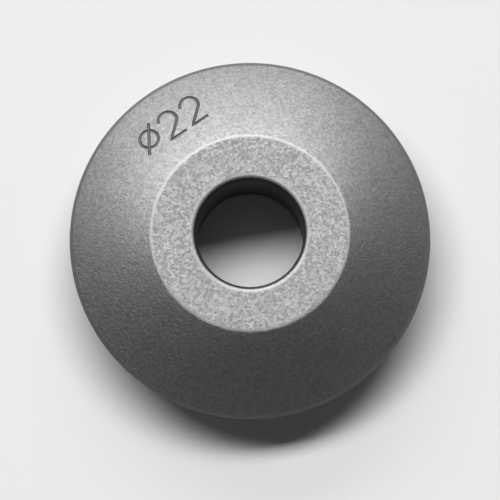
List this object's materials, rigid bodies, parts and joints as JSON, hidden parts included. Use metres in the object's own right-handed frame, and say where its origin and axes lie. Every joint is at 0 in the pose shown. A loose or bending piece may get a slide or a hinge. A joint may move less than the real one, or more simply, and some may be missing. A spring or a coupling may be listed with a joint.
{
  "type": "tile cutter wheel",
  "caption": "Double-cone cutting wheel with a flat hub face on each side, a plain chamfered bore and a ground cutting edge.",
  "frame": {"origin": "centre of the bore, in the plane of the cutting edge halfway between the two hub faces", "axes": "+Z along the axle's axis, out of the upper hub face; the wheel is round, so +X and +Y are any two radii at right angles"},
  "size_m": [0.022, 0.022, 0.0054],
  "materials": {
    "sintered_carbide": "matte"
  },
  "bodies": {
    "root": {"cutting_wheel": "sintered_carbide"}
  },
  "joints": []
}
